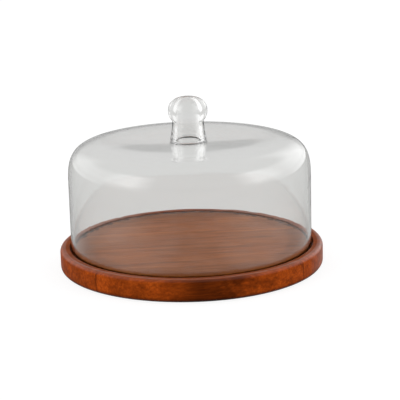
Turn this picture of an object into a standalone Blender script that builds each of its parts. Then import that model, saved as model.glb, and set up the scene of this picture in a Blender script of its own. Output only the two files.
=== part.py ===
"""Cake stand with a lift-off glass dome: a round board glued up from staves, with a routed groove
that holds the foot of a blown glass bell, and a hollow glass knob fused to the bell's crown.

Metres, +Z up. The origin is the centre of the board's underside, and the grain runs along X.
"""

import math

import bpy

# Board
BASE_RADIUS = 0.150
BASE_THICKNESS = 0.025
BASE_EDGE_RADIUS = 0.005
STAVE_WIDTH = 0.065
STAVE_SHIFT = -0.0015  # the middle stave's centre line, seen from the board's centre
GLUE_LINE = 0.0003
SAW_REACH = 0.165  # how far the cuts between the staves run out from the centre, past the rim

# Groove for the foot of the bell
GROOVE_INNER_RADIUS = 0.1330
GROOVE_OUTER_RADIUS = 0.1390
GROOVE_DEPTH = 0.006

# Bell
BELL_RADIUS = 0.1372
GLASS_THICKNESS = 0.003
SHOULDER_START = 0.0900
SHOULDER_POWER = 3.9
CROWN_LIP_RADIUS = 0.0810
CROWN_LIP_HEIGHT = 0.1436
DIMPLE_DEPTH = 0.0020
FOOT_ROUNDING = 0.0012

# Knob
KNOB_HEIGHT = 0.193
KNOB_RADIUS = 0.0221
KNOB_WIDEST_HEIGHT = 0.1774
KNOB_TOP_POWER = 2.3
KNOB_LOWER_REACH = 0.0195
KNOB_NECK_ANGLE = math.radians(36)
KNOB_NECK_SLOPE = (-0.0019, -0.0023)
BEAD_RADIUS = 0.0205
BEAD_HEIGHT = 0.1450
BEAD_SLOPE = (0.0066, -0.0318)
BEAD_ROUNDING = 0.0010
BEAD_UNDERCUT = math.radians(65)
KNOB_FOOT_RADIUS = 0.0197

# Hollow of the knob, closed at its mouth by the crown
HOLLOW_HEIGHT = 0.1880
HOLLOW_RADIUS = 0.0137
HOLLOW_WIDEST_HEIGHT = 0.1750
HOLLOW_SLOPE = (-0.0052, -0.0608)
MOUTH_RADIUS = 0.0142
MOUTH_SLOPE = (0.0045, -0.0700)

# Gap between pieces that rest on or are fused to each other
SEAT_GAP = 0.0003
BELL_FOOT_HEIGHT = BASE_THICKNESS - GROOVE_DEPTH + SEAT_GAP

# Facets
BOARD_STEPS = 96
BOARD_EDGE_STEPS = 5
BELL_STEPS = 64
DIMPLE_STEPS = 6
SHOULDER_STEPS = 14
FOOT_ROUNDING_STEPS = 3
FOOT_CORNER_ANGLE = math.radians(60)
KNOB_STEPS = 48
KNOB_UPPER_STEPS = 7
KNOB_LOWER_STEPS = 4
KNOB_WAIST_STEPS = 8
BEAD_STEPS = 3
HOLLOW_TOP_STEPS = 5
HOLLOW_STEPS = 7

# Finishes
WOOD_COLOUR = (0.24, 0.085, 0.035, 1.0)
WOOD_ROUGHNESS = 0.35
GLASS_COLOUR = (0.93, 0.94, 0.94, 1.0)
GLASS_ROUGHNESS = 0.02
GLASS_IOR = 1.5

STAVE_NAMES = (
    "base_stave_front",
    "base_stave_mid_front",
    "base_stave_middle",
    "base_stave_mid_back",
    "base_stave_back",
)


def clear_scene():
    for obj in list(bpy.data.objects):
        bpy.data.objects.remove(obj, do_unlink=True)


def new_collection(name):
    collection = bpy.data.collections.new(name)
    bpy.context.scene.collection.children.link(collection)
    return collection


def wood_material():
    material = bpy.data.materials.new("stained_wood")
    material.use_nodes = True
    shader = material.node_tree.nodes["Principled BSDF"]
    shader.inputs["Base Color"].default_value = WOOD_COLOUR
    shader.inputs["Roughness"].default_value = WOOD_ROUGHNESS
    shader.inputs["Metallic"].default_value = 0.0
    return material


def glass_material(name):
    material = bpy.data.materials.new(name)
    material.use_nodes = True
    shader = material.node_tree.nodes["Principled BSDF"]
    shader.inputs["Base Color"].default_value = GLASS_COLOUR
    shader.inputs["Roughness"].default_value = GLASS_ROUGHNESS
    shader.inputs["Metallic"].default_value = 0.0
    shader.inputs["IOR"].default_value = GLASS_IOR
    shader.inputs["Transmission Weight"].default_value = 1.0
    return material


def arc(centre_r, centre_z, radius, start_deg, end_deg, steps):
    """Points on an arc in the r-z plane, both ends included."""
    points = []
    for step in range(steps + 1):
        angle = math.radians(start_deg + (end_deg - start_deg) * step / steps)
        points.append((centre_r + radius * math.cos(angle), centre_z + radius * math.sin(angle)))
    return points


def turned(name, profile, steps, collection):
    """A solid or sheet turned about Z from a profile of (radius, height) points, top to bottom."""
    mesh = bpy.data.meshes.new(name)
    mesh.from_pydata(
        [(radius, 0.0, height) for radius, height in profile],
        [(index, index + 1) for index in range(len(profile) - 1)],
        [],
    )
    obj = bpy.data.objects.new(name, mesh)
    collection.objects.link(obj)
    screw = obj.modifiers.new("Turn", "SCREW")
    screw.axis = "Z"
    screw.steps = steps
    screw.render_steps = steps
    screw.use_merge_vertices = True
    screw.merge_threshold = 0.00001
    screw.use_smooth_shade = True
    return obj


def board_profile():
    """The board's half section, from the centre of its top round to the centre of its underside."""
    top = BASE_THICKNESS
    floor = BASE_THICKNESS - GROOVE_DEPTH
    edge = BASE_RADIUS - BASE_EDGE_RADIUS
    points = [
        (0.0, top),
        (GROOVE_INNER_RADIUS, top),
        (GROOVE_INNER_RADIUS, floor),
        (GROOVE_OUTER_RADIUS, floor),
        (GROOVE_OUTER_RADIUS, top),
    ]
    points += arc(edge, top - BASE_EDGE_RADIUS, BASE_EDGE_RADIUS, 90, 0, BOARD_EDGE_STEPS)
    points += arc(edge, BASE_EDGE_RADIUS, BASE_EDGE_RADIUS, 0, -90, BOARD_EDGE_STEPS)
    points.append((0.0, 0.0))
    return points


def slab_cutter(name, low_y, high_y, collection):
    """A box across the whole board, from low_y to high_y, that keeps one stave's width of it."""
    bpy.ops.mesh.primitive_cube_add(size=1.0)
    cutter = bpy.context.active_object
    cutter.name = name
    cutter.location = (0.0, (low_y + high_y) / 2, BASE_THICKNESS / 2)
    cutter.scale = (2 * SAW_REACH, high_y - low_y, 2 * BASE_THICKNESS)
    cutter.hide_render = True
    cutter.display_type = "WIRE"
    for owner in list(cutter.users_collection):
        owner.objects.unlink(cutter)
    collection.objects.link(cutter)
    return cutter


def stave_limits():
    """The (low, high) Y of each stave from front to back; the outer two run out past the rim."""
    count = len(STAVE_NAMES)
    joints = [STAVE_SHIFT + (number - count / 2) * STAVE_WIDTH for number in range(1, count)]
    lows = [-SAW_REACH] + [joint + GLUE_LINE / 2 for joint in joints]
    highs = [joint - GLUE_LINE / 2 for joint in joints] + [SAW_REACH]
    return list(zip(lows, highs))


def make_board(parent, material, parts, cutters):
    for name, (low_y, high_y) in zip(STAVE_NAMES, stave_limits()):
        stave = turned(name, board_profile(), BOARD_STEPS, parts)
        saw = stave.modifiers.new("Saw", "BOOLEAN")
        saw.operation = "INTERSECT"
        saw.solver = "EXACT"
        saw.object = slab_cutter(name + "_slab", low_y, high_y, cutters)
        stave.data.materials.append(material)
        stave.parent = parent


def crown_height(radius):
    """Height of the bell's outer surface inside the crown's lip, a shallow dimple."""
    rise = (1 - math.cos(math.pi * radius / CROWN_LIP_RADIUS)) / 2
    return CROWN_LIP_HEIGHT - DIMPLE_DEPTH * (1 - rise)


def superellipse(centre, reach, power, steps):
    """A quarter of a superellipse from straight above its centre out to its side, ends included.

    The points are (radius, height), reach is its (radius, height) half axes, and a power of 2
    would make it an ellipse.
    """
    points = [(centre[0], centre[1] + reach[1])]
    for step in range(1, steps):
        angle = math.pi / 2 * step / steps
        across = math.sin(angle) ** (2 / power)
        up = math.cos(angle) ** (2 / power)
        points.append((centre[0] + reach[0] * across, centre[1] + reach[1] * up))
    points.append((centre[0] + reach[0], centre[1]))
    return points


def bell_profile():
    """The bell's outer surface, from the middle of the crown down to its foot."""
    points = []
    for step in range(DIMPLE_STEPS):
        radius = CROWN_LIP_RADIUS * step / DIMPLE_STEPS
        points.append((radius, crown_height(radius)))
    points += superellipse(
        (CROWN_LIP_RADIUS, SHOULDER_START),
        (BELL_RADIUS - CROWN_LIP_RADIUS, CROWN_LIP_HEIGHT - SHOULDER_START),
        SHOULDER_POWER,
        SHOULDER_STEPS,
    )
    points.append((BELL_RADIUS, BELL_FOOT_HEIGHT))
    return points


def lowered(profile, drop):
    return [(radius, height - drop) for radius, height in profile]


def make_bell(parent, material, parts):
    profile = lowered(bell_profile(), BELL_FOOT_HEIGHT)
    bell = turned("dome_bell", profile, BELL_STEPS, parts)
    wall = bell.modifiers.new("Wall", "SOLIDIFY")
    wall.thickness = GLASS_THICKNESS
    wall.offset = -1.0
    wall.use_even_offset = True
    fire_polish = bell.modifiers.new("Fire polish", "BEVEL")
    fire_polish.width = FOOT_ROUNDING
    fire_polish.segments = FOOT_ROUNDING_STEPS
    fire_polish.limit_method = "ANGLE"
    fire_polish.angle_limit = FOOT_CORNER_ANGLE
    bell.data.materials.append(material)
    bell.parent = parent


def hermite(start, start_slope, end, end_slope, steps):
    """A cubic from start to end, leaving and arriving along the two slope vectors."""
    points = []
    for step in range(steps + 1):
        t = step / steps
        a = 2 * t**3 - 3 * t**2 + 1
        b = t**3 - 2 * t**2 + t
        c = -2 * t**3 + 3 * t**2
        d = t**3 - t**2
        points.append(
            tuple(
                a * start[k] + b * start_slope[k] + c * end[k] + d * end_slope[k]
                for k in range(2)
            )
        )
    return points


def knob_profile():
    """The knob's half section: down the outside to its foot, then up the hollow to the axis.

    The outside is a flattened top, a round lower half, a waist and a bead just above the foot.
    """
    underside = crown_height(KNOB_FOOT_RADIUS) + SEAT_GAP
    points = superellipse(
        (0.0, KNOB_WIDEST_HEIGHT),
        (KNOB_RADIUS, KNOB_HEIGHT - KNOB_WIDEST_HEIGHT),
        KNOB_TOP_POWER,
        KNOB_UPPER_STEPS,
    )
    for step in range(1, KNOB_LOWER_STEPS + 1):
        angle = KNOB_NECK_ANGLE * step / KNOB_LOWER_STEPS
        radius = KNOB_RADIUS * math.cos(angle)
        points.append((radius, KNOB_WIDEST_HEIGHT - KNOB_LOWER_REACH * math.sin(angle)))
    bead = (BEAD_RADIUS, BEAD_HEIGHT)
    points += hermite(points[-1], KNOB_NECK_SLOPE, bead, BEAD_SLOPE, KNOB_WAIST_STEPS)[1:]
    for step in range(1, BEAD_STEPS + 1):
        angle = BEAD_UNDERCUT * step / BEAD_STEPS
        radius = BEAD_RADIUS - BEAD_ROUNDING * (1 - math.cos(angle))
        points.append((radius, BEAD_HEIGHT - BEAD_ROUNDING * math.sin(angle)))
    points.append((KNOB_FOOT_RADIUS, underside))

    mouth = (MOUTH_RADIUS, underside)
    widest = (HOLLOW_RADIUS, HOLLOW_WIDEST_HEIGHT)
    hollow = superellipse(
        (0.0, HOLLOW_WIDEST_HEIGHT),
        (HOLLOW_RADIUS, HOLLOW_HEIGHT - HOLLOW_WIDEST_HEIGHT),
        KNOB_TOP_POWER,
        HOLLOW_TOP_STEPS,
    )
    hollow += hermite(widest, HOLLOW_SLOPE, mouth, MOUTH_SLOPE, HOLLOW_STEPS)[1:]
    return points + hollow[::-1]


def make_knob(parent, material, parts):
    profile = lowered(knob_profile(), BELL_FOOT_HEIGHT)
    knob = turned("dome_knob", profile, KNOB_STEPS, parts)
    knob.data.materials.append(material)
    knob.parent = parent


def new_empty(name, height, collection):
    empty = bpy.data.objects.new(name, None)
    empty.location = (0.0, 0.0, height)
    collection.objects.link(empty)
    return empty


def main():
    clear_scene()
    parts = new_collection("cake_stand_dome")
    cutters = new_collection("cutters")
    board_origin = new_empty("board_origin", 0.0, parts)
    dome_lift = new_empty("dome_lift", BELL_FOOT_HEIGHT, parts)
    make_board(board_origin, wood_material(), parts, cutters)
    make_bell(dome_lift, glass_material("bell_glass"), parts)
    make_knob(dome_lift, glass_material("knob_glass"), parts)


main()
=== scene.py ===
"""Looks of the cake stand with a glass dome: five varnished staves and one piece of blown glass,
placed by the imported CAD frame. Metres, +Z up, the board's grain along X, its front towards -Y."""

import math

import bmesh
import bpy
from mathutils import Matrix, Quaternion, Vector, noise


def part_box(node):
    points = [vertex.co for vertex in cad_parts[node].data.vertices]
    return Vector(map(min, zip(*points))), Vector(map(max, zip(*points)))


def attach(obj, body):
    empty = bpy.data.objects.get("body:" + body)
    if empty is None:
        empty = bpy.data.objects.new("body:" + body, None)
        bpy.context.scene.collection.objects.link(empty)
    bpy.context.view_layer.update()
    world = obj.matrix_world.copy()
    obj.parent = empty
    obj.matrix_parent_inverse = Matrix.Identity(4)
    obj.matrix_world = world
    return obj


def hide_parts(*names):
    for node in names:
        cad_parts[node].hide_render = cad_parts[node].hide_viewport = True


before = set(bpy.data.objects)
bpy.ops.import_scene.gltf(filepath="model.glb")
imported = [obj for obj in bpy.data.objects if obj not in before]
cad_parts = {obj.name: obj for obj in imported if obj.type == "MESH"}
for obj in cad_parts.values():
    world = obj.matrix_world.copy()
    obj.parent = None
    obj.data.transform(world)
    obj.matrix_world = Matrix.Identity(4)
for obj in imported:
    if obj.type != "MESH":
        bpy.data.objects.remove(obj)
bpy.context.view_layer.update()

STAVES = (
    "base_stave_front",
    "base_stave_mid_front",
    "base_stave_middle",
    "base_stave_mid_back",
    "base_stave_back",
)

# Sizes that the frame gives
BOARD_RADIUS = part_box("base_stave_middle")[1].x
BOARD_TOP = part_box("base_stave_middle")[1].z
BELL_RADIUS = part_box("dome_bell")[1].x
BELL_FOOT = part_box("dome_bell")[0].z
LIP_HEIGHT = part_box("dome_bell")[1].z
KNOB_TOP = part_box("dome_knob")[1].z

# Board section, as the CAD's, with the groove's lips and corners rounded
BOARD_EDGE = 0.005
GROOVE_INNER = 0.1330
GROOVE_OUTER = 0.1390
GROOVE_DEPTH = 0.006
GROOVE_LIP = 0.0007
GROOVE_CORNER = 0.0012
BOARD_STEPS = 288

# Glass section, as the CAD's, with the foot and the hollow's lower corner rounded
WALL = 0.003
SHOULDER_START = 0.0900
SHOULDER_POWER = 3.9
LIP_RADIUS = 0.0810
DIMPLE = 0.0020
KNOB_RADIUS = 0.0221
KNOB_WIDEST = 0.1774
KNOB_TOP_POWER = 2.3
KNOB_LOWER_REACH = 0.0195
KNOB_NECK_ANGLE = math.radians(36)
KNOB_NECK_SLOPE = (-0.0019, -0.0023)
BEAD_RADIUS = 0.0205
BEAD_HEIGHT = 0.1450
BEAD_SLOPE = (0.0066, -0.0318)
BEAD_ROUNDING = 0.0010
BEAD_UNDERCUT = math.radians(65)
HOLLOW_TOP = 0.1880
HOLLOW_RADIUS = 0.0137
HOLLOW_WIDEST = 0.1750
HOLLOW_SLOPE = (-0.0052, -0.0608)
MOUTH_RADIUS = 0.0142
MOUTH_SLOPE = (0.0045, -0.0700)
HOLLOW_CORNER = 0.0014
GLASS_STEPS = 256

# Where the knob's foot melts into the crown, and how far the crown sinks at its two sides
BEAD_FILLET = 0.0004
FILLET_START_SLOPE = (-0.0008, -0.0012)
FILLET_END_SLOPE = (0.0012, 0.0)
CROWN_SAG = 0.0014

# Unevenness of the blown glass: a slow swell of the walls, and a slightly ragged foot
SWELL = 0.00018
SWELL_FULL_RADIUS = 0.1
RAGGED_DEPTH = 0.0005
RAGGED_RISE = 0.0008
RAGGED_HEIGHT = 0.016


def new_mesh(name, bm):
    """A smooth-shaded object in the scene, made from bm, which is freed."""
    mesh = bpy.data.meshes.new(name)
    bm.to_mesh(mesh)
    bm.free()
    for polygon in mesh.polygons:
        polygon.use_smooth = True
    obj = bpy.data.objects.new(name, mesh)
    bpy.context.scene.collection.objects.link(obj)
    return obj


def arc(centre, radius, start_deg, end_deg, steps):
    """Points (radius, height) round an arc, both ends included."""
    points = []
    for step in range(steps + 1):
        angle = math.radians(start_deg + (end_deg - start_deg) * step / steps)
        x = centre[0] + radius * math.cos(angle)
        points.append((x, centre[1] + radius * math.sin(angle)))
    return points


def turn(profile, steps, place):
    """A closed solid turned about Z from a profile that starts and ends on the axis.

    place takes (radius, height, angle) and gives the vertex's place, so it can bend the shape.
    """
    bm = bmesh.new()
    rings = []
    for radius, height in profile:
        if radius < 1e-7:
            rings.append([bm.verts.new((0.0, 0.0, height))])
            continue
        ring = []
        for step in range(steps):
            ring.append(bm.verts.new(place(radius, height, 2 * math.pi * step / steps)))
        rings.append(ring)
    for upper, lower in zip(rings, rings[1:]):
        for step in range(steps):
            after = (step + 1) % steps
            if len(upper) == 1:
                corners = (upper[0], lower[step], lower[after])
            elif len(lower) == 1:
                corners = (upper[step], lower[0], upper[after])
            else:
                corners = (upper[step], lower[step], lower[after], upper[after])
            bm.faces.new(corners)
    bmesh.ops.recalc_face_normals(bm, faces=bm.faces)
    return bm


def round_place(radius, height, angle):
    return (radius * math.cos(angle), radius * math.sin(angle), height)


# ---------------------------------------------------------------- board


def board_profile():
    """The board's section: its top, the groove, the rounded rim and the flat underside."""
    top = BOARD_TOP
    floor = top - GROOVE_DEPTH
    lip = GROOVE_LIP
    corner = GROOVE_CORNER
    edge = BOARD_RADIUS - BOARD_EDGE
    points = [(0.0, top)]
    points += [(GROOVE_INNER * k / 6, top) for k in range(1, 6)]
    points += arc((GROOVE_INNER - lip, top - lip), lip, 90, 0, 5)
    points += arc((GROOVE_INNER + corner, floor + corner), corner, 180, 270, 4)
    points += arc((GROOVE_OUTER - corner, floor + corner), corner, 270, 360, 4)
    points += arc((GROOVE_OUTER + lip, top - lip), lip, 180, 90, 5)
    points += arc((edge, top - BOARD_EDGE), BOARD_EDGE, 90, 0, 12)
    points += arc((edge, BOARD_EDGE), BOARD_EDGE, 0, -90, 12)
    points.append((0.0, 0.0))
    return points


def cut_stave(bm, low_y, high_y):
    """Keeps what lies between low_y and high_y, and caps the cuts."""
    for y, direction in ((low_y, -1.0), (high_y, 1.0)):
        if abs(y) > BOARD_RADIUS:
            continue
        cut = bmesh.ops.bisect_plane(
            bm,
            geom=bm.verts[:] + bm.edges[:] + bm.faces[:],
            plane_co=(0.0, y, 0.0),
            plane_no=(0.0, direction, 0.0),
            clear_outer=True,
        )
        edges = [e for e in cut["geom_cut"] if isinstance(e, bmesh.types.BMEdge)]
        bmesh.ops.triangle_fill(bm, edges=edges, use_beauty=True)
    bmesh.ops.recalc_face_normals(bm, faces=bm.faces)


def stave_limits():
    """The Y of each stave's two long sides, at the middle of the CAD's glue lines."""
    boxes = [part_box(name) for name in STAVES]
    joints = [(near[1].y + far[0].y) / 2 for near, far in zip(boxes, boxes[1:])]
    return list(zip([-1.0] + joints, joints + [1.0]))


def make_board():
    """Five staves of one turned board, which meet at the glue lines."""
    for index, (name, limits) in enumerate(zip(STAVES, stave_limits())):
        bm = turn(board_profile(), BOARD_STEPS, round_place)
        cut_stave(bm, *limits)
        stave = new_mesh(name.replace("base_", ""), bm)
        stave.data.set_sharp_from_angle(angle=math.radians(50))
        stave.data.materials.append(wood_material(index, limits))
        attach(stave, "board")
        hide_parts(name)


# ---------------------------------------------------------------- glass


def crown_height(radius):
    """The crown's upper side, which dips by DIMPLE from its lip to the middle."""
    rise = (1 - math.cos(math.pi * radius / LIP_RADIUS)) / 2
    return LIP_HEIGHT - DIMPLE * (1 - rise)


def superellipse(centre, reach, power, steps):
    """A quarter of a superellipse, from its top round to its widest point."""
    points = [(centre[0], centre[1] + reach[1])]
    for step in range(1, steps):
        angle = math.pi / 2 * step / steps
        across = math.sin(angle) ** (2 / power)
        up = math.cos(angle) ** (2 / power)
        points.append((centre[0] + reach[0] * across, centre[1] + reach[1] * up))
    points.append((centre[0] + reach[0], centre[1]))
    return points


def hermite(start, start_slope, end, end_slope, steps):
    """A smooth curve between two points that leaves and arrives along the given slopes."""
    points = []
    for step in range(steps + 1):
        t = step / steps
        a = 2 * t**3 - 3 * t**2 + 1
        b = t**3 - 2 * t**2 + t
        c = -2 * t**3 + 3 * t**2
        d = t**3 - t**2
        points.append(
            tuple(
                a * start[k] + b * start_slope[k] + c * end[k] + d * end_slope[k]
                for k in range(2)
            )
        )
    return points


def offset_inward(points, distance):
    """Points moved by distance to the right of their path, along the mean of their two normals."""
    moved = []
    for index, point in enumerate(points):
        before = points[max(index - 1, 0)]
        after = points[min(index + 1, len(points) - 1)]
        dx, dz = after[0] - before[0], after[1] - before[1]
        length = math.hypot(dx, dz)
        moved.append((point[0] + distance * dz / length, point[1] - distance * dx / length))
    return moved


def knob_points():
    """The knob's outside: a flattened ball, a waist, and a bead just above the crown."""
    points = superellipse(
        (0.0, KNOB_WIDEST), (KNOB_RADIUS, KNOB_TOP - KNOB_WIDEST), KNOB_TOP_POWER, 26
    )
    for step in range(1, 13):
        angle = KNOB_NECK_ANGLE * step / 12
        radius = KNOB_RADIUS * math.cos(angle)
        points.append((radius, KNOB_WIDEST - KNOB_LOWER_REACH * math.sin(angle)))
    bead = (BEAD_RADIUS, BEAD_HEIGHT)
    points += hermite(points[-1], KNOB_NECK_SLOPE, bead, BEAD_SLOPE, 26)[1:]
    for step in range(1, 9):
        angle = BEAD_UNDERCUT * step / 8
        radius = BEAD_RADIUS - BEAD_ROUNDING * (1 - math.cos(angle))
        points.append((radius, BEAD_HEIGHT - BEAD_ROUNDING * math.sin(angle)))
    neck = points[-1]
    end = neck[0] + BEAD_FILLET
    crown = (end, crown_height(end))
    points += hermite(neck, FILLET_START_SLOPE, crown, FILLET_END_SLOPE, 8)[1:]
    return points


def hollow_points():
    """The knob's closed hollow, from the middle of its floor on the crown up to the axis."""
    floor = crown_height(0.0)
    corner = (MOUTH_RADIUS - HOLLOW_CORNER, floor + HOLLOW_CORNER)
    points = [(corner[0] * k / 5, floor) for k in range(5)]
    points += arc(corner, HOLLOW_CORNER, -90, 0, 7)
    widest = (HOLLOW_RADIUS, HOLLOW_WIDEST)
    wall = hermite(widest, HOLLOW_SLOPE, (MOUTH_RADIUS, floor), MOUTH_SLOPE, 24)
    points += [point for point in wall[::-1] if point[1] > corner[1] + 0.0004]
    reach = (HOLLOW_RADIUS, HOLLOW_TOP - HOLLOW_WIDEST)
    points += superellipse((0.0, HOLLOW_WIDEST), reach, KNOB_TOP_POWER, 20)[:-1][::-1]
    return points


def bell_points(first_radius):
    """The bell's outside, from first_radius on the crown down to the start of its foot."""
    points = []
    for step in range(1, 36):
        radius = first_radius + (LIP_RADIUS - first_radius) * step / 36
        points.append((radius, crown_height(radius)))
    points += superellipse(
        (LIP_RADIUS, SHOULDER_START),
        (BELL_RADIUS - LIP_RADIUS, LIP_HEIGHT - SHOULDER_START),
        SHOULDER_POWER,
        60,
    )
    wall_foot = BELL_FOOT + WALL / 2
    for step in range(1, 13):
        points.append((BELL_RADIUS, SHOULDER_START + (wall_foot - SHOULDER_START) * step / 12))
    return points


def glass_profile():
    """Down the outside from the knob's top, round the foot, and up the inside to the axis."""
    outside = knob_points()
    outside += bell_points(outside[-1][0])
    inside = offset_inward(bell_points(0.0), WALL)
    foot = arc((BELL_RADIUS - WALL / 2, BELL_FOOT + WALL / 2), WALL / 2, 0, -180, 10)
    return outside + foot[1:-1] + inside[::-1] + [(0.0, crown_height(0.0) - WALL)]


def ease(value, low, high):
    """0 at low and below, 1 at high and above, and smooth between them."""
    share = min(max((value - low) / (high - low), 0.0), 1.0)
    return share * share * (3 - 2 * share)


def crown_sag(x, y, radius, height):
    """How far the crown sinks at its two sides, where the dimple runs on towards the shoulder."""
    if height < SHOULDER_START + 0.03:
        return 0.0
    sides = ease(abs(x), 0.010, 0.048) * (1 - ease(radius, 0.058, 0.098))
    share = 0.75 if x < 0 else 1.0
    return CROWN_SAG * share * sides * ease(y, -0.064, 0.002) * (1 - ease(y, 0.020, 0.075))


def glass_place(radius, height, angle):
    """Where blown glass lies: never wider than the bell, with a slow swell and a ragged foot."""
    x, y = math.cos(angle), math.sin(angle)
    swell = noise.noise(Vector((2.1 * x, 2.1 * y, 18 * height))) * SWELL
    near_foot = max(0.0, 1 - (height - BELL_FOOT) / RAGGED_HEIGHT)
    ragged = noise.noise(Vector((15 * x, 15 * y, 150 * height))) * RAGGED_DEPTH * near_foot
    if radius < SWELL_FULL_RADIUS:
        swell *= radius / SWELL_FULL_RADIUS
    rise = abs(noise.noise(Vector((9 * x, 9 * y, 3.0)))) * RAGGED_RISE * near_foot
    r = radius - abs(swell) + ragged * 0.5
    r = min(r, BELL_RADIUS)
    sag = crown_sag(r * x, r * y, r, height)
    return (r * x, r * y, height + rise - sag)


def make_glass():
    """The bell and its fused knob as one piece of glass, with the knob's closed hollow inside."""
    bm = turn(glass_profile(), GLASS_STEPS, glass_place)
    hollow = turn(hollow_points(), GLASS_STEPS, glass_place)
    bmesh.ops.reverse_faces(hollow, faces=hollow.faces)
    void = bpy.data.meshes.new("knob_hollow")
    hollow.to_mesh(void)
    hollow.free()
    bm.from_mesh(void)
    glass = new_mesh("dome_glass", bm)
    glass.data.materials.append(glass_material())
    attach(glass, "dome")
    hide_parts("dome_bell", "dome_knob")


# ---------------------------------------------------------------- materials


class Tree:
    """Short spellings for building a node tree."""

    def __init__(self, tree):
        self.tree = tree
        tree.nodes.clear()

    def add(self, kind, **inputs):
        """A node whose inputs are given by name, with _ for a space."""
        node = self.tree.nodes.new(kind)
        for key, value in inputs.items():
            self.put(node.inputs[key.replace("_", " ")], value)
        return node

    def put(self, socket, value):
        if isinstance(value, bpy.types.NodeSocket):
            self.tree.links.new(value, socket)
        else:
            socket.default_value = value

    def operate(self, kind, operation, values):
        node = self.tree.nodes.new(kind)
        node.operation = operation
        for socket, value in zip(node.inputs, values):
            self.put(socket, value)
        return node.outputs[0]

    def math(self, operation, *values):
        return self.operate("ShaderNodeMath", operation, values)

    def vector(self, operation, *values):
        return self.operate("ShaderNodeVectorMath", operation, values)

    def add_up(self, a, b):
        return self.math("ADD", a, b)

    def times(self, first, *others):
        for other in others:
            first = self.math("MULTIPLY", first, other)
        return first

    def less(self, value, share):
        """value without the given share of it."""
        return self.times(value, self.math("SUBTRACT", 1.0, share))

    def axes(self, place):
        return self.add("ShaderNodeSeparateXYZ", Vector=place).outputs

    def length(self, x, y):
        return self.math("SQRT", self.add_up(self.times(x, x), self.times(y, y)))

    def grey(self, value):
        return self.add("ShaderNodeCombineXYZ", X=value, Y=value, Z=value).outputs[0]

    def noise(self, vector, scale, detail=2.0, roughness=0.5, distortion=0.0):
        node = self.add(
            "ShaderNodeTexNoise",
            Vector=vector,
            Scale=scale,
            Detail=detail,
            Roughness=roughness,
            Distortion=distortion,
        )
        return node.outputs["Fac"]

    def step(self, value, low, high, low_out=0.0, high_out=1.0):
        """Runs smoothly from low_out at low to high_out at high."""
        node = self.tree.nodes.new("ShaderNodeMapRange")
        node.interpolation_type = "SMOOTHSTEP"
        for socket, item in zip(node.inputs, (value, low, high, low_out, high_out)):
            self.put(socket, item)
        return node.outputs[0]

    def band(self, value, centre, half, softness):
        """1 within half of centre, and 0 from softness beyond that."""
        away = self.math("ABSOLUTE", self.math("SUBTRACT", value, centre))
        return self.step(away, half, half + softness, 1.0, 0.0)

    def ramp(self, value, stops):
        """Colours between (position, colour) stops. A single number is a grey."""
        node = self.tree.nodes.new("ShaderNodeValToRGB")
        ramp = node.color_ramp
        while len(ramp.elements) < len(stops):
            ramp.elements.new(1.0)
        for element, (position, colour) in zip(ramp.elements, stops):
            if not isinstance(colour, tuple):
                colour = (colour,) * 3
            element.position = position
            element.color = (*colour, 1.0)
        self.put(node.inputs[0], value)
        return node.outputs[0]

    def mix(self, factor, a, b, blend="MIX"):
        node = self.tree.nodes.new("ShaderNodeMix")
        node.data_type = "RGBA"
        node.blend_type = blend
        self.put(node.inputs["Factor"], factor)
        for name, value in (("A", a), ("B", b)):
            socket = [s for s in node.inputs if s.name == name and s.type == "RGBA"][0]
            if isinstance(value, tuple) and len(value) == 3:
                value = (*value, 1.0)
            self.put(socket, value)
        return [s for s in node.outputs if s.type == "RGBA"][0]

    def join(self, kind, factor, first, second):
        """Mixes or adds two shaders. factor is None where they are added."""
        node = self.tree.nodes.new(kind)
        sockets = list(node.inputs)
        if factor is not None:
            self.put(sockets.pop(0), factor)
        for socket, shader in zip(sockets, (first, second)):
            self.put(socket, shader.outputs[0])
        return node

    def mirrored(self, rays):
        """1 for rays that were reflected last, and 0 for rays that came through glass."""
        through = rays.outputs["Is Transmission Ray"]
        is_glossy = rays.outputs["Is Glossy Ray"]
        return self.math("MAXIMUM", self.math("SUBTRACT", is_glossy, through), 0.0)


def new_material(name):
    material = bpy.data.materials.new(name)
    material.use_nodes = True
    return material, Tree(material.node_tree)


# Per stave, in the order of STAVES: how light it is, and where in the noise its grain is cut
STAVE_TONES = (1.02, 0.99, 0.93, 1.07, 0.96)
STAVE_SEEDS = (
    (0.31, 0.9, 0.2),
    (1.7, 0.3, 1.1),
    (2.9, 1.6, 0.7),
    (4.3, 2.8, 1.9),
    (6.1, 4.4, 2.6),
)
HEART_STAVE = 0
SAPWOOD_STAVES = (2, 3)

# Along the grain, across it and upwards: how far the grain wanders, then its noise scales
GRAIN_DRIFT = (0.0, 0.007, 0.007)
FIGURE_SCALE = (7.0, 150.0, 110.0)
STREAK_SCALE = (24.0, 700.0, 420.0)
PORE_SCALE = (120.0, 2100.0, 1500.0)

STAIN = (
    (0.30, (0.195, 0.055, 0.0110)),
    (0.50, (0.285, 0.083, 0.0170)),
    (0.70, (0.370, 0.115, 0.0250)),
)
SAPWOOD_COLOUR = (0.46, 0.135, 0.020)
RIM_STAIN = (1.14, 0.64, 0.26)
# Painted sheen: a pale colour mixed in where the varnish would reflect light, and how much of it
PAINTED_SHEEN_COLOUR = (0.80, 0.74, 0.66)
PAINTED_SHEEN_SHARE = 0.085


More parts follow.
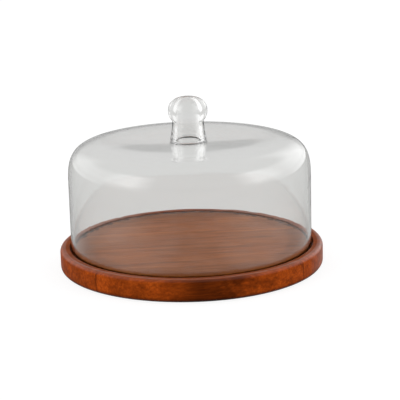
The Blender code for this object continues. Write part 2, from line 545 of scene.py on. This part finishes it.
def wood_grain(t, place, index):
    """The noise fields of the grain: figure, streaks, pores and a cloudy mottle."""
    seeded = t.vector("ADD", place, STAVE_SEEDS[index])
    drift = t.add("ShaderNodeTexNoise", Vector=seeded, Scale=11.0, Detail=1.0).outputs["Color"]
    drift = t.vector("MULTIPLY", t.vector("SUBTRACT", drift, (0.5, 0.5, 0.5)), GRAIN_DRIFT)
    wandering = t.vector("ADD", seeded, drift)
    figure = t.noise(t.vector("MULTIPLY", wandering, FIGURE_SCALE), 1.0, 5.0, 0.62, 0.5)
    streaks = t.noise(t.vector("MULTIPLY", wandering, STREAK_SCALE), 1.0, 4.0, 0.65)
    pores = t.noise(t.vector("MULTIPLY", wandering, PORE_SCALE), 1.0, 1.0)
    pores = t.step(pores, 0.58, 0.70)
    mottle = t.noise(t.vector("MULTIPLY", seeded, (1.0, 1.0, 1.6)), 42.0, 4.0, 0.68)
    return seeded, figure, streaks, pores, mottle


def sapwood(t, place, seeded, index, limits):
    """A paler, wandering line just behind one glue line, to the right of the middle."""
    x, y, _ = t.axes(place)
    joint = limits[1] if index == SAPWOOD_STAVES[0] else limits[0]
    edge = t.add_up(joint, 0.001)
    wander = t.times(t.math("SUBTRACT", t.noise(seeded, 30.0, 2.0), 0.5), 0.004)
    line = t.band(t.add_up(y, wander), edge, 0.0012, 0.0022)
    return t.times(line, t.step(x, 0.015, 0.05), 0.55)


def wood_colour(t, place, index, limits):
    """Long fine streaks, a dark heart in the front stave and paler sapwood at one glue line."""
    seeded, figure, streaks, pores, mottle = wood_grain(t, place, index)
    x, y, _ = t.axes(place)
    radius = t.length(x, y)
    on_side = t.step(radius, BOARD_RADIUS - 0.005, BOARD_RADIUS - 0.001)

    colour = t.ramp(figure, STAIN)
    if index in SAPWOOD_STAVES:
        pale = sapwood(t, place, seeded, index, limits)
        colour = t.mix(pale, colour, SAPWOOD_COLOUR)
    outside = t.times(t.step(radius, GROOVE_INNER, GROOVE_OUTER), 0.75)
    outside = t.add_up(outside, t.times(on_side, 0.25))
    colour = t.mix(outside, colour, t.mix(1.0, colour, RIM_STAIN, "MULTIPLY"))

    cloudy = t.step(mottle, 0.32, 0.68, -1.0, 1.0)
    cloudy = t.times(cloudy, t.step(on_side, 0.0, 1.0, 0.05, 0.24))
    shade = t.step(streaks, 0.36, 0.64, 0.78, 1.14)
    shade = t.times(shade, t.add_up(1.0, cloudy), t.step(on_side, 0.0, 1.0, 0.98, 1.06))
    shade = t.less(t.times(shade, STAVE_TONES[index]), t.times(pores, 0.22))
    if index == HEART_STAVE:
        ragged = t.times(t.math("SUBTRACT", mottle, 0.5), 0.05)
        heart = t.band(t.add_up(x, ragged), 0.008, 0.010, 0.042)
        shade = t.less(shade, t.times(heart, t.step(on_side, 0.0, 1.0, 0.02, 0.64)))
    return colour, shade, streaks, pores


def groove_painted_shade(t, place):
    """Painted shade darkening the groove, and a painted shadow along a ragged line at the groove's
    inner lip at the back.
    """
    x, y, z = t.axes(place)
    radius = t.length(x, y)
    at_back = t.step(y, 0.0, 0.05)
    half_groove = (GROOVE_OUTER - GROOVE_INNER) / 2
    in_groove = t.band(radius, (GROOVE_OUTER + GROOVE_INNER) / 2, half_groove, 0.0006)
    below = t.step(z, BOARD_TOP - 0.0012, BOARD_TOP - 0.0003, 1.0, 0.0)
    # painted shade: the groove is darkened as if in shadow, less so at the back
    groove_shade = t.times(in_groove, below, t.step(at_back, 0.0, 1.0, 0.72, 0.34))
    # painted shadow along a ragged line just inside the groove's inner lip, at the back only
    notch = t.step(t.noise(place, 170.0, 3.0, 0.80), 0.42, 0.58, 0.0008, 0.0070)
    lip = t.math("SUBTRACT", GROOVE_INNER, t.times(notch, at_back))
    ragged_lip_shadow = t.step(t.math("SUBTRACT", radius, lip), -0.0004, 0.0003)
    before_groove = t.step(radius, GROOVE_INNER + 0.0004, GROOVE_INNER + 0.0012, 1.0, 0.0)
    return groove_shade, t.times(ragged_lip_shadow, before_groove, at_back, 0.74)


def painted_sheen_mask(t, place, groove_shade, ragged_lip_shadow):
    """A painted sheen standing in for reflected light on the varnish: paler towards the back at
    both sides, and strongest on the rim.
    """
    x, y, _ = t.axes(place)
    aside = t.math("ABSOLUTE", x)
    on_rim = t.step(t.length(x, y), GROOVE_OUTER, GROOVE_OUTER + 0.001, 1.0, 2.0)
    painted_sheen = t.times(t.step(aside, 0.025, 0.085), t.step(y, -0.045, 0.070, 0.0, PAINTED_SHEEN_SHARE))
    painted_sheen = t.times(painted_sheen, t.step(aside, 0.122, 0.138, 1.0, 0.0))
    painted_sheen = t.less(t.less(painted_sheen, t.times(groove_shade, 1.6)), ragged_lip_shadow)
    return t.times(painted_sheen, on_rim)


def joints_and_painted_light(t, place, shade, limits):
    """Painted shade in the groove, down the middle of the top and along the lower edge, a little
    painted light towards the sides of the top, and darker glue lines; also gives the painted sheen.
    """
    x, y, z = t.axes(place)
    radius = t.length(x, y)
    groove_shade, ragged_lip_shadow = groove_painted_shade(t, place)
    shade = t.less(t.less(shade, groove_shade), ragged_lip_shadow)
    # painted shade down the middle of the top, turning to slight painted light towards its sides
    middle = t.step(t.math("ABSOLUTE", x), 0.015, 0.075, 0.075, -0.03)
    shade = t.less(shade, t.times(middle, t.step(radius, 0.130, 0.134, 1.0, 0.0)))
    for joint in limits:
        if abs(joint) < BOARD_RADIUS:
            line = t.band(y, joint, 0.0003, 0.0006)
            depth = t.step(radius, BOARD_RADIUS - 0.002, BOARD_RADIUS - 0.001, 0.20, 0.42)
            shade = t.less(shade, t.times(line, depth))
    # painted shade along the lower edge, as if in the board's contact shadow
    shade = t.times(shade, t.step(z, 0.0, 0.0068, 0.08, 1.0))
    return shade, painted_sheen_mask(t, place, groove_shade, ragged_lip_shadow)


def wood_polish(t, place):
    """How much the varnish shines: dull on top, glossier round the rim and at the right end."""
    x, y, _ = t.axes(place)
    radius = t.length(x, y)
    rim = t.band(radius, BOARD_RADIUS - 0.0035, 0.0016, 0.0018)
    on_side = t.step(radius, BOARD_RADIUS - 0.004, BOARD_RADIUS - 0.001)
    handled = t.times(on_side, t.step(x, 0.120, 0.146))
    polish = t.add_up(0.02, t.times(rim, 0.32))
    return t.add_up(polish, t.times(handled, 0.45))


def wood_material(index, limits):
    """Stained hardwood under satin varnish, with its grain along X."""
    material, t = new_material("board_wood_%d" % (index + 1))
    place = t.add("ShaderNodeTexCoord").outputs["Object"]
    colour, shade, streaks, pores = wood_colour(t, place, index, limits)
    shade, painted_sheen = joints_and_painted_light(t, place, shade, limits)
    shaded = t.mix(1.0, colour, t.grey(shade), "MULTIPLY")
    # painted sheen mixed into the colour
    shaded = t.mix(painted_sheen, shaded, PAINTED_SHEEN_COLOUR)

    height = t.add_up(t.times(streaks, 0.6), t.times(pores, -0.8))
    bump = t.add("ShaderNodeBump", Strength=0.30, Distance=0.00020, Height=height)
    smudge = t.noise(t.vector("ADD", place, STAVE_SEEDS[index]), 38.0, 4.0, 0.65)
    shader = t.add(
        "ShaderNodeBsdfPrincipled",
        Base_Color=shaded,
        Roughness=t.step(smudge, 0.25, 0.75, 0.30, 0.46),
        Normal=bump.outputs[0],
        Specular_IOR_Level=wood_polish(t, place),
    )
    t.add("ShaderNodeOutputMaterial", Surface=shader.outputs[0])
    return material


def glass_material():
    """Clear blown glass, with faint cords that bend what is seen through it."""
    material, t = new_material("clear_glass")
    place = t.add("ShaderNodeTexCoord").outputs["Object"]
    cords = t.noise(t.vector("MULTIPLY", place, (14.0, 14.0, 46.0)), 1.0, 2.0, 0.5, 0.4)
    bump = t.add("ShaderNodeBump", Strength=0.25, Distance=0.0006, Height=cords)
    glass = t.add(
        "ShaderNodeBsdfPrincipled",
        Base_Color=t.ramp(cords, ((0.3, (0.985, 0.988, 0.985)), (0.7, (0.995, 0.996, 0.995)))),
        Roughness=0.0,
        IOR=1.5,
        Transmission_Weight=1.0,
        Normal=bump.outputs[0],
    )
    clear = t.add("ShaderNodeBsdfTransparent", Color=(0.93, 0.93, 0.93, 1.0))
    is_shadow = t.add("ShaderNodeLightPath").outputs["Is Shadow Ray"]
    surface = t.join("ShaderNodeMixShader", is_shadow, glass, clear)
    t.add("ShaderNodeOutputMaterial", Surface=surface.outputs[0])
    return material


# ---------------------------------------------------------------- stage, light and camera

WHITE = (1.0, 1.0, 1.0, 1.0)
FLOOR_MATTE = (0.22, 0.22, 0.22, 1.0)
FLOOR_GLOW = 0.86
FLOOR_TINT = (1.0, 1.0, 0.985, 1.0)
FLOOR_LIGHT = 0.665
FLOOR_THROUGH_GLASS = 0.681
FLOOR_MIRRORED = 0.36
# How much brighter the painted pool of light in front of the board is in reflections
PAINTED_POOL_GAIN = 0.60

SEEN_BACKDROP = (0.98, 0.98, 0.98)
BACKDROP_THROUGH_GLASS = (0.678, 0.678, 0.672)
MIRRORED_GLOW_GAIN = 0.40
GLOW_LOST_THROUGH_GLASS = 0.48

# Grey of the studio's walls by height, as a share of 90 degrees
STUDIO_WALL = (
    (0.0, 0.50),
    (0.06, 0.24),
    (0.10, 0.28),
    (0.125, 0.58),
    (0.15, 0.66),
    (1.0, 0.68),
)

# Strength of the band of soft light by the angle from the front, in degrees
LIGHT_BAND = (
    (40, 0.0),
    (52, 1.00),
    (62, 2.10),
    (76, 1.70),
    (96, 0.62),
    (128, 0.72),
    (148, 0.60),
    (166, 0.0),
)


def floor_material():
    """Near white to the eye with a faint contact shadow, a calm grey behind the glass, and a
    painted pool of light in front of the board that shows only in reflections.
    """
    material, t = new_material("stage_floor")
    rays = t.add("ShaderNodeLightPath")
    matte = t.add("ShaderNodeBsdfDiffuse", Color=FLOOR_MATTE)
    glow = t.add("ShaderNodeEmission", Color=WHITE, Strength=FLOOR_GLOW)
    seen = t.join("ShaderNodeAddShader", None, matte, glow)

    x, y, _ = t.axes(t.add("ShaderNodeTexCoord").outputs["Object"])
    near = t.step(t.length(x, y), 0.30, 0.44, 1.0, 0.0)
    in_front = t.step(y, -0.16, -0.03, 1.0, 0.0)
    # painted pool of light on the floor in front of the board, seen only in reflections in the
    # varnish
    painted_light_pool = t.times(near, in_front, t.step(t.math("ABSOLUTE", x), 0.05, 0.14))
    mirrored = t.add_up(FLOOR_MIRRORED, t.times(painted_light_pool, PAINTED_POOL_GAIN))
    through = rays.outputs["Is Transmission Ray"]
    straight = t.step(through, 0.0, 1.0, FLOOR_LIGHT, FLOOR_THROUGH_GLASS)
    gain = t.times(t.mirrored(rays), t.math("SUBTRACT", mirrored, straight))
    strength = t.add_up(straight, gain)
    behind = t.add("ShaderNodeEmission", Color=FLOOR_TINT, Strength=strength)

    is_camera = rays.outputs["Is Camera Ray"]
    surface = t.join("ShaderNodeMixShader", is_camera, behind, seen)
    t.add("ShaderNodeOutputMaterial", Surface=surface.outputs[0])
    return material


def make_floor():
    bm = bmesh.new()
    bmesh.ops.create_circle(bm, cap_ends=True, segments=96, radius=9.0)
    floor = new_mesh("stage_floor", bm)
    floor.location.z = -0.0002
    floor.data.materials.append(floor_material())


def make_world():
    """A grey studio with a band of soft light down each side that runs on, weaker and lower,
    round the back. It's a calm grey through glass and near white where it's seen directly."""
    world = bpy.data.worlds.new("studio")
    bpy.context.scene.world = world
    world.use_nodes = True
    t = Tree(world.node_tree)
    x, y, z = t.axes(t.add("ShaderNodeTexCoord").outputs["Generated"])
    across = t.math("MAXIMUM", t.length(x, y), 1e-4)
    turned = t.math("ARCCOSINE", t.math("DIVIDE", t.times(y, -1.0), across))
    turned = t.math("DEGREES", turned)
    height = t.math("DEGREES", t.math("ARCSINE", z))
    rays = t.add("ShaderNodeLightPath")
    through = rays.outputs["Is Transmission Ray"]

    wall = t.ramp(t.math("DIVIDE", height, 90.0), STUDIO_WALL)
    wall = t.times(wall, t.step(turned, 20.0, 85.0, 0.55, 1.0))
    base = t.mix(through, wall, BACKDROP_THROUGH_GLASS)

    stops = tuple((angle / 180, strength) for angle, strength in LIGHT_BAND)
    glow = t.ramp(t.math("DIVIDE", turned, 180.0), stops)
    band_height = t.step(turned, 70.0, 130.0, 25.0, 15.0)
    glow = t.times(glow, t.band(t.math("SUBTRACT", height, band_height), 0.0, 12.0, 16.0))
    brighter_right = t.math("SUBTRACT", t.step(x, -0.5, 0.5, 0.85, 1.35), 1.0)
    at_back = t.step(turned, 80.0, 125.0)
    glow = t.times(glow, t.add_up(1.0, t.times(at_back, brighter_right)))
    gain = t.add_up(1.0, t.times(t.mirrored(rays), MIRRORED_GLOW_GAIN))
    gain = t.math("SUBTRACT", gain, t.times(through, GLOW_LOST_THROUGH_GLASS))
    glow = t.grey(t.times(glow, gain))

    studio = t.vector("ADD", base, glow)
    colour = t.mix(rays.outputs["Is Camera Ray"], studio, SEEN_BACKDROP)
    background = t.add("ShaderNodeBackground", Color=colour, Strength=1.0)
    t.add("ShaderNodeOutputWorld", Surface=background.outputs[0])


def make_camera():
    """A long lens a little above the rim and a little to the left, held slightly off level."""
    elevation = math.radians(14.5)
    turn_left = math.radians(5.0)
    roll = math.radians(-1.63)
    distance = 1.6
    target = Vector((0.0, 0.0, 0.07))

    data = bpy.data.cameras.new("camera")
    data.sensor_width = 36.0
    data.lens = 126.5
    data.shift_x = 0.02425
    data.shift_y = 0.00725
    camera = bpy.data.objects.new("camera", data)
    bpy.context.scene.collection.objects.link(camera)
    back = Vector((
        -math.sin(turn_left) * math.cos(elevation),
        -math.cos(turn_left) * math.cos(elevation),
        math.sin(elevation),
    ))
    camera.location = target + distance * back
    camera.rotation_mode = "QUATERNION"
    look = (-back).to_track_quat("-Z", "Y")
    camera.rotation_quaternion = look @ Quaternion((0.0, 0.0, 1.0), roll)
    bpy.context.scene.camera = camera


make_board()
make_glass()
make_floor()
make_world()
make_camera()
bpy.context.scene.view_settings.view_transform = "Standard"
